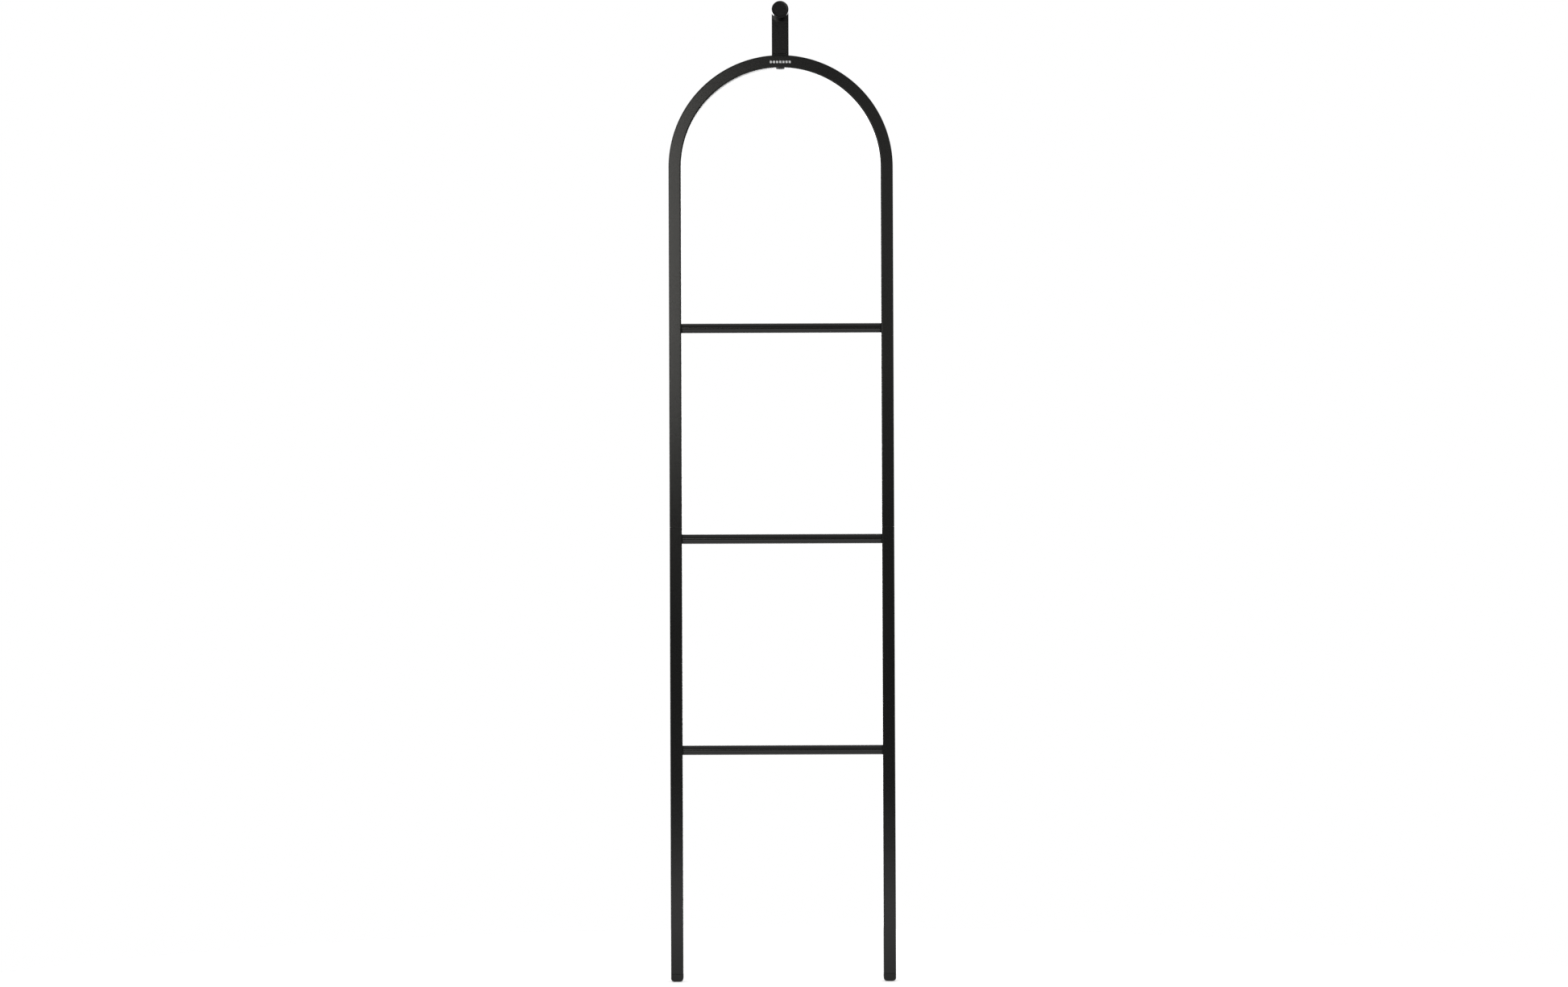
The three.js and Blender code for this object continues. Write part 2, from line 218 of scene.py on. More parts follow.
COAT = powder_coat("powder_coat", (0.0060, 0.0060, 0.0058), (0.0080, 0.0080, 0.0077))
# The post and peg wear a darker copy of the frame's coat: painted shade, for how dark the same coat
# looks up there under the lights.
POST_COAT_PAINTED_SHADE = powder_coat("post_powder_coat_painted_shade", (0.0030, 0.0030, 0.0030), (0.0044, 0.0044, 0.0044))
PLASTIC = moulded(
    "moulded_plastic", (0.010, 0.010, 0.010), (0.014, 0.014, 0.014),
    roughness=0.5, grain_scale=1500, grain_depth=0.012 * MM,
)
RUBBER = moulded(
    "moulded_rubber", (0.0065, 0.0065, 0.0063), (0.0090, 0.0090, 0.0087),
    roughness=0.4, grain_scale=1100, grain_depth=0.02 * MM,
)
BLACK_STEEL = metal(
    "black_steel", (0.012, 0.012, 0.012), (0.018, 0.018, 0.018), roughness=0.36, metallic=0.2,
)
ZINC = metal(
    "zinc_steel", (0.46, 0.47, 0.49), (0.60, 0.61, 0.62), roughness=0.36, streak=(1, 1, 0.05),
)
BRASS = metal(
    "insert_brass", (0.60, 0.44, 0.18), (0.72, 0.55, 0.27), roughness=0.32, streak=(1, 1, 0.1),
)
INK = print_ink()


# ---------------------------------------------------------------- mesh making

SHARP_ANGLE = math.radians(38)  # edges that turn more than this stay crisp
FACE_WEIGHT = 80  # how much the large faces decide the shading
CORNER_LEAD = 0.4 * MM  # from a rounded corner to the support point beside it
LARGE_FACETS = 128  # round the larger turned pieces
AXIS_HOLE = 0.1 * MM  # a turned skin stops this far from its axis, and its end is capped
WIDE_AXIS_HOLE = 0.2 * MM  # the same, on the larger pieces


def make_piece(name, points, faces, material, replaces=()):
    """A smooth-shaded closed mesh that rides on the frame and stands for CAD nodes."""
    mesh = bpy.data.meshes.new(name)
    mesh.from_pydata([tuple(point) for point in points], [], faces)
    work = bmesh.new()
    work.from_mesh(mesh)
    bmesh.ops.recalc_face_normals(work, faces=work.faces)
    work.to_mesh(mesh)
    work.free()
    mesh.materials.append(material)
    mesh.polygons.foreach_set("use_smooth", [True] * len(mesh.polygons))
    piece = bpy.data.objects.new(name, mesh)
    bpy.context.scene.collection.objects.link(piece)
    shade = piece.modifiers.new("face_weights", "WEIGHTED_NORMAL")
    shade.weight = FACE_WEIGHT
    shade.keep_sharp = True
    mark_sharp_edges(mesh)
    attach(piece, "root")
    for node in replaces:
        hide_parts(node)


def mark_sharp_edges(mesh):
    work = bmesh.new()
    work.from_mesh(mesh)
    for edge in work.edges:
        if len(edge.link_faces) == 2 and edge.calc_face_angle(0) > SHARP_ANGLE:
            edge.smooth = False
    work.to_mesh(mesh)
    work.free()


def ring_faces(first, second, count):
    """Quads between two rings of the same size, given their first vertex numbers."""
    return [
        (first + i, first + (i + 1) % count, second + (i + 1) % count, second + i)
        for i in range(count)
    ]


def loft(rings, closed=False):
    """Points and faces of a skin over rings of the same size. Its ends are capped, or joined
    to each other if it is closed."""
    count = len(rings[0])
    points = [point for ring in rings for point in ring]
    faces = []
    for index in range(len(rings) - 1):
        faces += ring_faces(index * count, (index + 1) * count, count)
    last = (len(rings) - 1) * count
    if closed:
        faces += ring_faces(last, 0, count)
    else:
        faces.append(tuple(range(count)))
        faces.append(tuple(range(last, last + count)))
    return points, faces


def hexagon_radius(across_flats, angle):
    """Distance from the middle of a hexagon to its edge, in the given direction."""
    sixth = TAU / 6
    return across_flats / 2 / math.cos((angle + sixth / 2) % sixth - sixth / 2)


def turned(profile, along, origin, facets=96, closed=False):
    """Turns a profile about an axis. Each profile point is (radius, distance) or
    (across_flats, distance, "hex"), for a hexagonal stretch such as a socket."""
    axis = {"X": Vector((1, 0, 0)), "Y": Vector((0, 1, 0)), "Z": Vector((0, 0, 1))}[along]
    across = {"X": Vector((0, 1, 0)), "Y": Vector((0, 0, 1)), "Z": Vector((1, 0, 0))}[along]
    other = axis.cross(across)
    rings = []
    for entry in profile:
        size, distance = entry[0], entry[1]
        ring = []
        for index in range(facets):
            angle = TAU * index / facets
            radius = hexagon_radius(size, angle) if len(entry) == 3 else size
            outward = across * math.cos(angle) + other * math.sin(angle)
            ring.append(origin + axis * distance + outward * radius)
        rings.append(ring)
    return loft(rings, closed)


def arc_points(centre_radius, centre_distance, radius, start, stop, pieces=8):
    """Profile points along an arc, for round edges; the angles are in degrees."""
    points = []
    for index in range(pieces + 1):
        angle = math.radians(start + (stop - start) * index / pieces)
        along = centre_distance + radius * math.sin(angle)
        points.append((centre_radius + radius * math.cos(angle), along))
    return points


def dome_points(rim_radius, rim_distance, flat_radius, top_distance, pieces=8):
    """Profile points of a low dome from its rim, which is left out, to the flat on its top."""
    points = []
    for index in range(1, pieces + 1):
        angle = TAU / 4 * index / pieces
        radius = flat_radius + (rim_radius - flat_radius) * math.cos(angle)
        points.append((radius, rim_distance + (top_distance - rim_distance) * math.sin(angle)))
    return points


def rounded_square(side, corner, pieces=8):
    """Outline points of a rounded square, with a support point beside each end of a corner."""
    flat = side / 2 - corner
    lead = min(CORNER_LEAD, flat / 2)
    outline = []
    for quarter in range(4):
        turn = quarter * TAU / 4
        rotate = Matrix.Rotation(turn, 2)
        middle = rotate @ Vector((flat, flat))
        inward = rotate @ Vector((0, -1))
        onward = rotate @ Vector((-1, 0))
        start = middle + rotate @ Vector((corner, 0))
        stop = middle + rotate @ Vector((0, corner))
        outline.append(start + inward * lead)
        for index in range(pieces + 1):
            angle = turn + TAU / 4 * index / pieces
            outline.append(middle + corner * Vector((math.cos(angle), math.sin(angle))))
        outline.append(stop + onward * lead)
    return outline


# ---------------------------------------------------------------- square tubes

EDGE_BREAK = 0.3 * MM  # the small round on a tube's cut end
EDGE_STEPS = 4
HOOP_TURNS = 180
HOOP_LEG_STEPS = 12
RAIL_STEPS = 16


def tube_end_insets():
    """(distance from the cut end, how far the skin is drawn in) along a broken edge."""
    angles = [TAU / 4 * index / EDGE_STEPS for index in reversed(range(EDGE_STEPS + 1))]
    return [(EDGE_BREAK * (1 - math.sin(a)), EDGE_BREAK * (1 - math.cos(a))) for a in angles]


def square_tube(name, stations, replaces):
    """A hollow square tube over a list of (place, sideways, forward) stations; its cut ends
    have broken edges. sideways and forward are the section's two directions."""
    first, last = stations[0], stations[-1]
    rings = []

    def ring(place, sideways, forward, side, corner):
        outline = rounded_square(side, corner)
        rings.append([place + sideways * p.x + forward * p.y for p in outline])

    def skin(path):
        for place, sideways, forward, inset in path:
            ring(place, sideways, forward, TUBE - 2 * inset, TUBE_CORNER - inset)

    start_axis = (stations[1][0] - first[0]).normalized()
    stop_axis = (last[0] - stations[-2][0]).normalized()
    insets = tube_end_insets()
    skin([(first[0] + start_axis * d, first[1], first[2], i) for d, i in insets])
    skin([(*station, 0) for station in stations[1:-1]])
    skin([(last[0] - stop_axis * d, last[1], last[2], i) for d, i in reversed(insets)])
    for place, sideways, forward in reversed(stations):
        ring(place, sideways, forward, TUBE - 2 * TUBE_WALL, TUBE_CORNER - TUBE_WALL)
    points, faces = loft(rings, closed=True)
    make_piece(name, points, faces, COAT, replaces)


def hoop_stations():
    """Up the left leg, over the round top and down the right leg."""
    forward = Vector((0, 1, 0))
    leg_heights = [
        HOOP_LOW.z + (SPRING_Z - HOOP_LOW.z) * index / HOOP_LEG_STEPS for index in range(HOOP_LEG_STEPS)
    ]
    stations = []
    for z in leg_heights:
        stations.append((Vector((-LEG_X, 0, z)), Vector((-1, 0, 0)), forward))
    for index in range(HOOP_TURNS + 1):
        angle = math.pi * index / HOOP_TURNS
        outward = Vector((-math.cos(angle), 0, math.sin(angle)))
        stations.append((Vector((0, 0, SPRING_Z)) + outward * LEG_X, outward, forward))
    for z in reversed(leg_heights):
        stations.append((Vector((LEG_X, 0, z)), Vector((1, 0, 0)), forward))
    return stations


def add_hoop():
    square_tube("hoop_tube", hoop_stations(), ["upper_hoop"])


def add_lower_rail(name, side):
    low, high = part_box(f"{name}_lower_rail")
    stations = []
    for index in range(RAIL_STEPS + 1):
        z = low.z + (high.z - low.z) * index / RAIL_STEPS
        stations.append((Vector((side * LEG_X, 0, z)), Vector((1, 0, 0)), Vector((0, 1, 0))))
    square_tube(f"{name}_rail_tube", stations, [f"{name}_lower_rail"])


# ---------------------------------------------------------------- rungs and their welds

RUNG_WALL = 1 * MM
RUNG_NECK = 0.7 * MM  # how much a rung's ends are drawn in
RUNG_TAPER = 1.4 * MM  # how far from its end a rung reaches its full size
RUNG_SHARES = (0.98, 0.9, 0.6, 0.3, 0, -0.3, -0.6, -0.9, -0.98)

WELD_BEAD = 0.75 * MM
WELD_REACH = 0.35 * MM  # from the leg's face to the middle of the bead
WELD_FLATNESS = 0.8
WELD_AROUND = 170
WELD_SECTION = 10
RIPPLE_COUNT = 34
RIPPLE_SIZE = 0.10
WANDER_COUNT = 5
WANDER_SIZE = 0.06
WANDER_SHIFT = 40  # gives each rung's weld its own run


def add_rung(node):
    low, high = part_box(node)
    radius = (high.z - low.z) / 2
    inner = radius - RUNG_WALL
    half = high.x
    neck = radius - RUNG_NECK
    profile = [(inner, -half), (neck, -half)]
    profile += arc_points(neck, -half + RUNG_TAPER, radius - neck, -90, 0, 5)
    profile += [(radius, -half * share) for share in RUNG_SHARES]
    profile += arc_points(neck, half - RUNG_TAPER, radius - neck, 0, 90, 5)
    profile += [(neck, half), (inner, half)]
    origin = Vector((0, 0, (low.z + high.z) / 2))
    points, faces = turned(profile, "X", origin, closed=True)
    make_piece(f"{node}_tube", points, faces, COAT, [node])
    for name, side in SIDES:
        add_weld(f"{node}_{name}_weld", side, origin.z, neck)


def add_weld(name, side, z, radius):
    """A small rippled bead round the end of a rung, against the leg's inner face."""
    rings = []
    for index in range(WELD_AROUND):
        angle = TAU * index / WELD_AROUND
        ripple = RIPPLE_SIZE * math.sin(RIPPLE_COUNT * angle)
        wander = WANDER_SIZE * math.sin(WANDER_COUNT * angle + z * WANDER_SHIFT)
        size = WELD_BEAD * (1 + ripple + wander)
        outward = Vector((0, math.cos(angle), math.sin(angle)))
        middle = Vector((side * (INNER_X - WELD_REACH), 0, z)) + outward * radius
        ring = []
        for step in range(WELD_SECTION):
            turn = TAU * step / WELD_SECTION
            across = Vector((side * WELD_FLATNESS * math.sin(turn), 0, 0)) + outward * math.cos(turn)
            ring.append(middle + across * size)
        rings.append(ring)
    points, faces = loft(rings, closed=True)
    make_piece(name, points, faces, COAT)


# ---------------------------------------------------------------- feet

FOOT_DOME = 6.5 * MM
FOOT_DOME_STEPS = 14
FOOT_EDGE = 0.35 * MM
SOLE_HALF = TUBE_HALF - FOOT_DOME
SOLE_CORNER = 3 * MM
SOLE_HOLLOW = 0.5 * MM  # how far the middle of the sole is drawn up
STEM_HALF = 5.5 * MM
STEM_CORNER = 1 * MM
FIN_HALF = 9.5 * MM
FIN_CORNER = 1.5 * MM
FIN_COUNT = 4
FIN_INSET = 2 * MM  # from a fin's lower face to the end of its stretch of the stem


def add_foot(name):
    """A domed square foot with a hollow in its sole, and the finned stem that grips the tube."""
    node = f"{name}_foot_plug"
    low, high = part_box(node)
    cap_top = RAIL_LOW.z - GAP
    place = Vector(((low.x + high.x) / 2, 0, 0))
    rings = []

    def ring(half, corner, z):
        outline = rounded_square(2 * half, min(corner, half * 0.95))
        rings.append([place + Vector((p.x, p.y, z)) for p in outline])

    for share, rise in ((0.3, SOLE_HOLLOW), (0.52, SOLE_HOLLOW), (0.60, 0), (1, 0)):
        ring(share * SOLE_HALF, SOLE_CORNER, rise)
    for index in range(1, FOOT_DOME_STEPS + 1):
        angle = TAU / 4 * index / FOOT_DOME_STEPS
        ring(SOLE_HALF + FOOT_DOME * math.sin(angle), TUBE_CORNER, FOOT_DOME * (1 - math.cos(angle)))
    ring(TUBE_HALF, TUBE_CORNER, cap_top - FOOT_EDGE)
    ring(TUBE_HALF - 0.3 * FOOT_EDGE, TUBE_CORNER, cap_top - 0.3 * FOOT_EDGE)
    ring(TUBE_HALF - FOOT_EDGE, TUBE_CORNER - FOOT_EDGE, cap_top)
    ring(STEM_HALF, STEM_CORNER, cap_top)
    pitch = (high.z - cap_top) / FIN_COUNT
    for index in range(FIN_COUNT):
        bottom = cap_top + pitch * (index + 1) - FIN_INSET
        ring(STEM_HALF, FIN_CORNER, bottom)
        ring(FIN_HALF - 0.4 * MM, FIN_CORNER, bottom)
        ring(FIN_HALF, FIN_CORNER, bottom + 0.5 * MM)
        ring(FIN_HALF - 0.6 * MM, FIN_CORNER, bottom + 1.4 * MM)
        ring(STEM_HALF, FIN_CORNER, bottom + 1.5 * MM)
    ring(STEM_HALF, STEM_CORNER, high.z)
    points, faces = loft(rings)
    make_piece(f"{name}_foot", points, faces, RUBBER, [node])


# ---------------------------------------------------------------- post, peg and wall buffer

POST_EDGE = 0.8 * MM
POST_EDGE_STEPS = 6
POST_FOOT_CORNER = 0.3 * MM
POST_LEAST_CORNER = 0.05 * MM
POST_CORNER_STEPS = 4
POST_ARC_STEPS = 64
POST_SIDE_SHARES = (0.03, 0.35, 0.65, 0.97)

PEG_EDGE = 0.8 * MM
PEG_DISH = 0.12 * MM
PEG_DISH_FLOOR_SHARE = 0.80  # of the peg's radius, out to where the dish begins to rise
PEG_DISH_RISE_SHARE = 0.83
PEG_RING_SHARE = 0.845
PEG_DISH_RISE = 0.10 * MM
PEG_BORE = 3.3 * MM
PEG_BORE_DEPTH = 20 * MM
PEG_BACK_EDGE = 0.5 * MM

SPACER_EDGE = 1.5 * MM
SPACER_FRONT_EDGE = 0.5 * MM
SPACER_BORE = 3.3 * MM
SPACER_COUNTERBORE = 6 * MM
SPACER_SHOULDER = 12.4 * MM
SPACER_GROOVE_DEPTH = 0.5 * MM
SPACER_GROOVE_TOP = 0.9 * MM
SPACER_GROOVE_FLOOR = 0.5 * MM

PAD_THICKNESS = 2.7 * MM
PAD_EDGE = 1 * MM
PAD_BREAK = 0.4 * MM
PAD_STEM = 5.7 * MM
PAD_GROOVE_DEPTH = 0.6 * MM
PAD_GROOVE_RADII = (11.0, 8.0, 5.0)
PAD_GROOVE_SHAPE = ((0.9, 0), (0.6, 0.7), (0.35, 1), (-0.35, 1), (-0.6, 0.7), (-0.9, 0))


def post_outline(inset, bottom, peg_z, half):
    """The post from the front, drawn in by the inset: square below, a half circle above."""
    points = []
    radius = half - inset
    corner = max(POST_FOOT_CORNER - inset, POST_LEAST_CORNER)
    low = bottom + inset
    for start, middle_x in ((180, -radius + corner), (270, radius - corner)):
        for index in range(POST_CORNER_STEPS + 1):
            angle = math.radians(start + 90 * index / POST_CORNER_STEPS)
            x = middle_x + corner * math.cos(angle)
            points.append((x, low + corner + corner * math.sin(angle)))
    side_heights = [low + corner + share * (peg_z - low - corner) for share in POST_SIDE_SHARES]
    points += [(radius, z) for z in side_heights]
    for index in range(POST_ARC_STEPS + 1):
        angle = math.pi * index / POST_ARC_STEPS
        points.append((radius * math.cos(angle), peg_z + radius * math.sin(angle)))
    points += [(-radius, z) for z in reversed(side_heights)]
    return points


def add_post():
    low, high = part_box("hook_post")
    half = (high.x - low.x) / 2
    peg_z = high.z - half
    rings = []
    for face in (-1, 1):
        order = range(POST_EDGE_STEPS + 1) if face < 0 else reversed(range(POST_EDGE_STEPS + 1))
        for index in order:
            angle = TAU / 4 * index / POST_EDGE_STEPS
            inset = POST_EDGE * (1 - math.sin(angle))
            y = face * (high.y - POST_EDGE * (1 - math.cos(angle)))
            outline = post_outline(inset, low.z, peg_z, half)
            rings.append([Vector((x, y, z)) for x, z in outline])
    points, faces = loft(rings)
    make_piece("post_bar", points, faces, POST_COAT_PAINTED_SHADE, ["hook_post"])


def peg_origin():
    return Vector((0, 0, centre("hook_peg").z))


def add_peg():
    """The peg's face is slightly dished inside a turned ring."""
    low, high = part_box("hook_peg")
    radius = (high.z - low.z) / 2
    front, back = low.y, high.y
    dish = front + PEG_DISH
    bore_end = back - PEG_BORE_DEPTH
    back_edge_middle = 0.3 * PEG_BACK_EDGE
    profile = [(WIDE_AXIS_HOLE, dish), (radius * 0.5, dish)]
    profile.append((radius * PEG_DISH_FLOOR_SHARE, dish))
    profile.append((radius * PEG_DISH_RISE_SHARE, front + PEG_DISH_RISE))
    profile += [(radius * PEG_RING_SHARE, front), (radius - PEG_EDGE - 0.1 * MM, front)]
    profile += arc_points(radius - PEG_EDGE, front + PEG_EDGE, PEG_EDGE, -90, 0)
    profile += [(radius, front + 0.35 * (back - front)), (radius, front + 0.7 * (back - front))]
    profile += [(radius, back - PEG_BACK_EDGE), (radius - back_edge_middle, back - back_edge_middle)]
    profile += [(radius - PEG_BACK_EDGE, back), (PEG_BORE, back)]
    profile += [(PEG_BORE, bore_end), (WIDE_AXIS_HOLE, bore_end)]
    points, faces = turned(profile, "Y", peg_origin(), LARGE_FACETS)
    make_piece("peg_body", points, faces, POST_COAT_PAINTED_SHADE, ["hook_peg"])


def add_spacer():
    """A round block with a groove about its middle, and a counterbore that takes the screw's
    head and the buffer's stem."""
    low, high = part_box("wall_spacer")
    radius = (high.z - low.z) / 2
    middle = (low.y + high.y) / 2
    front_rim = radius - SPACER_FRONT_EDGE
    groove = radius - SPACER_GROOVE_DEPTH
    shoulder = low.y + SPACER_SHOULDER
    profile = [(SPACER_BORE, low.y), (front_rim, low.y)]
    profile += arc_points(front_rim, low.y + SPACER_FRONT_EDGE, SPACER_FRONT_EDGE, -90, 0, 4)
    profile += [(radius, middle - SPACER_GROOVE_TOP), (groove, middle - SPACER_GROOVE_FLOOR)]
    profile += [(groove, middle + SPACER_GROOVE_FLOOR), (radius, middle + SPACER_GROOVE_TOP)]
    profile += arc_points(radius - SPACER_EDGE, high.y - SPACER_EDGE, SPACER_EDGE, 0, 90)
    profile += [(SPACER_COUNTERBORE, high.y), (SPACER_COUNTERBORE, shoulder), (SPACER_BORE, shoulder)]
    points, faces = turned(profile, "Y", peg_origin(), LARGE_FACETS, closed=True)
    make_piece("spacer_body", points, faces, PLASTIC, ["wall_spacer"])


def add_wall_pad():
    """A rubber buffer with ring grooves in its face, on a stem."""
    low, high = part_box("wall_pad")
    radius = (high.z - low.z) / 2
    face, back = high.y, high.y - PAD_THICKNESS
    profile = [(WIDE_AXIS_HOLE, low.y), (PAD_STEM - PAD_BREAK, low.y)]
    profile += [(PAD_STEM, low.y + PAD_BREAK), (PAD_STEM, back)]
    profile += [(radius - PAD_BREAK, back), (radius, back + PAD_BREAK)]
    profile += arc_points(radius - PAD_EDGE, face - PAD_EDGE, PAD_EDGE, 0, 90, 6)
    for ring in PAD_GROOVE_RADII:
        for step, drop in PAD_GROOVE_SHAPE:
            profile.append(((ring + step) * MM, face - drop * PAD_GROOVE_DEPTH))
    profile.append((WIDE_AXIS_HOLE, face))
    points, faces = turned(profile, "Y", peg_origin(), LARGE_FACETS)
    make_piece("buffer", points, faces, RUBBER, ["wall_pad"])


# ---------------------------------------------------------------- fasteners

# Radii are from the axis; a socket's size is across its flats.
FINE_EDGE = 0.1 * MM  # the broken edge under a head
HEAD_SEAT = TUBE_HALF + GAP  # the joint screws' and rivets' heads start here

BOLT_HEAD = 7.5 * MM
BOLT_HEAD_HEIGHT = 1.2 * MM
BOLT_HEAD_EDGE = 0.8 * MM
BOLT_SHANK = 3 * MM
BOLT_TIP = 0.7 * MM
BOLT_SOCKET = 4 * MM
BOLT_SOCKET_DEPTH = 2.6 * MM
BOLT_SOCKET_LEAD = 0.25 * MM
BOLT_SOCKET_FLARE = 0.5 * MM
BOLT_FACE = 4 * MM

SCREW_HEAD = 4.75 * MM
SCREW_RIM = 0.5 * MM
SCREW_FLAT = 2.65 * MM
SCREW_SHANK = 2.5 * MM
SCREW_TIP = 0.5 * MM
SCREW_SOCKET = 3 * MM
SCREW_SOCKET_DEPTH = 1.7 * MM
SCREW_SOCKET_LEAD = 0.2 * MM
SCREW_SOCKET_FLARE = 0.4 * MM

RIVET_HEAD = 4 * MM
RIVET_FLAT = 1.3 * MM
RIVET_SHANK = 2 * MM
RIVET_TAIL = 2.7 * MM
RIVET_TAIL_LENGTH = 2.4 * MM
RIVET_TAIL_TAPER = 1.2 * MM
RIVET_TAIL_EDGE = 0.5 * MM
RIVET_MANDREL_HOLE = 1.1 * MM
RIVET_MANDREL_DEPTH = 0.4 * MM


def add_post_bolt():
    """The low round head under the crown, with a hexagon socket, and its plain shank."""
    low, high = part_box("post_bolt")
    tip = high.z - low.z
    rim = BOLT_HEAD - BOLT_HEAD_EDGE
    profile = [(AXIS_HOLE, BOLT_SOCKET_DEPTH), (BOLT_SOCKET, BOLT_SOCKET_DEPTH, "hex")]
    profile += [(BOLT_SOCKET, BOLT_SOCKET_LEAD, "hex"), (BOLT_SOCKET + BOLT_SOCKET_FLARE, 0, "hex")]
    profile += [(BOLT_FACE, 0), (rim, 0)]
    profile += arc_points(rim, BOLT_HEAD_EDGE, BOLT_HEAD_EDGE, -90, 0)
    profile += [(BOLT_HEAD, BOLT_HEAD_HEIGHT - FINE_EDGE), (BOLT_HEAD - FINE_EDGE, BOLT_HEAD_HEIGHT)]
    profile += [(BOLT_SHANK, BOLT_HEAD_HEIGHT), (BOLT_SHANK, tip - BOLT_TIP)]
    profile += [(BOLT_SHANK - BOLT_TIP, tip), (AXIS_HOLE, tip)]
    points, faces = turned(profile, "Z", Vector((0, 0, low.z)))
    make_piece("crown_bolt", points, faces, BLACK_STEEL, ["post_bolt"])


def add_joint_screw(name):
    """A domed screw with a hexagon socket, in from the back through the tube and the spigot."""
    node = f"{name}_joint_screw"
    low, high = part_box(node)
    middle = centre(node)
    top = high.y
    rim = HEAD_SEAT + SCREW_RIM
    socket_end = top - SCREW_SOCKET_DEPTH
    profile = [(AXIS_HOLE, low.y), (SCREW_SHANK - SCREW_TIP, low.y)]
    profile += [(SCREW_SHANK, low.y + SCREW_TIP), (SCREW_SHANK, HEAD_SEAT)]
    profile += [(SCREW_HEAD - FINE_EDGE, HEAD_SEAT), (SCREW_HEAD, HEAD_SEAT + FINE_EDGE)]
    profile.append((SCREW_HEAD, rim))
    profile += dome_points(SCREW_HEAD, rim, SCREW_FLAT, top)
    profile += [(SCREW_SOCKET + SCREW_SOCKET_FLARE, top, "hex")]
    profile += [(SCREW_SOCKET, top - SCREW_SOCKET_LEAD, "hex"), (SCREW_SOCKET, socket_end, "hex")]
    profile.append((AXIS_HOLE, socket_end))
    points, faces = turned(profile, "Y", Vector((middle.x, 0, middle.z)))
    make_piece(f"{name}_locking_screw", points, faces, BLACK_STEEL, [node])


def add_rivet(name):
    """A blind rivet: a domed head outside, a wider tail inside, and a hole where its pin was."""
    node = f"{name}_spigot_rivet"
    low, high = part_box(node)
    middle = centre(node)
    rim = HEAD_SEAT + FINE_EDGE
    tail_end = low.y + RIVET_TAIL_LENGTH
    hole_end = high.y - RIVET_MANDREL_DEPTH
    profile = [(AXIS_HOLE, low.y), (RIVET_TAIL - RIVET_TAIL_EDGE, low.y)]
    profile += [(RIVET_TAIL, low.y + RIVET_TAIL_TAPER), (RIVET_TAIL, tail_end)]
    profile += [(RIVET_SHANK, tail_end), (RIVET_SHANK, HEAD_SEAT)]
    profile += [(RIVET_HEAD - FINE_EDGE, HEAD_SEAT), (RIVET_HEAD, rim)]
    profile += dome_points(RIVET_HEAD, rim, RIVET_FLAT, high.y)
    profile += [(RIVET_MANDREL_HOLE, hole_end), (AXIS_HOLE, hole_end)]
    points, faces = turned(profile, "Y", Vector((middle.x, 0, middle.z)))
    make_piece(f"{name}_rivet", points, faces, BLACK_STEEL, [node])


# ---------------------------------------------------------------- printed mark

MARK_COUNT = 7
MARK_PITCH = 5.6 * MM
MARK_WIDTH = 3.8 * MM
MARK_HEIGHT = 4.2 * MM
MARK_CORNER = 0.8 * MM
MARK_CORNER_STEPS = 8
MARK_THICKNESS = 0.06 * MM
MARK_LIFT = 0.01 * MM  # keeps the ink's back off the coat
MARK_Z = CROWN_MIDDLE_Z - 1.5 * MM


def add_printed_mark(number):
    """One of a row of plain upright blocks with round corners, printed on the crown."""
    x = (number - (MARK_COUNT - 1) / 2) * MARK_PITCH
    half_width = MARK_WIDTH / 2 - MARK_CORNER
    half_height = MARK_HEIGHT / 2 - MARK_CORNER
    outline = []
    for quarter in range(4):
        turn = quarter * TAU / 4
        right = 1 if quarter in (0, 3) else -1
        up = 1 if quarter in (0, 1) else -1
        for index in range(MARK_CORNER_STEPS + 1):
            angle = turn + TAU / 4 * index / MARK_CORNER_STEPS
            across = x + right * half_width + MARK_CORNER * math.cos(angle)
            rise = MARK_Z + up * half_height + MARK_CORNER * math.sin(angle)
            outline.append((across, rise))
    front = -TUBE_HALF - MARK_THICKNESS
    back = -TUBE_HALF - MARK_LIFT
    rings = [[Vector((across, y, rise)) for across, rise in outline] for y in (front, back)]
    points, faces = loft(rings)
    make_piece(f"printed_mark_{number + 1}", points, faces, INK)


# ---------------------------------------------------------------- CAD nodes that stay

def finish_inner_nodes():
    """Pieces that the others cover keep their CAD shape and get their own finish."""
    finishes = {
        "left_joint_spigot": BLACK_STEEL,
        "right_joint_spigot": BLACK_STEEL,
        "left_joint_nut": ZINC,
        "right_joint_nut": ZINC,
        "hook_screw": ZINC,
        "post_insert": BRASS,
        "post_saddle": PLASTIC,
    }
    for node, material in finishes.items():
        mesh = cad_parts[node].data
        mesh.materials.clear()
        mesh.materials.append(material)


# ---------------------------------------------------------------- floor and light

FLOOR_RADIUS = 1.75
FLOOR_MIDDLE_Y = -0.85
FLOOR_FACETS = 128
FLOOR_GLOW = 0.35
FLOOR_FRONT_GLOW = 1.1
FLOOR_GLOW_START_Y = -1.2
FLOOR_GLOW_STOP_Y = -0.3

LIGHT_AIM = (0, 0, 1.0)
WARM_WHITE = (1, 0.985, 0.93)
KEY = {"place": (-0.95, -5.0, 1.74), "size": (1.3, 1.25), "power": 33}
FILL = {"place": (1.0, -5.0, 1.85), "size": (1.2, 1.2), "power": 5}


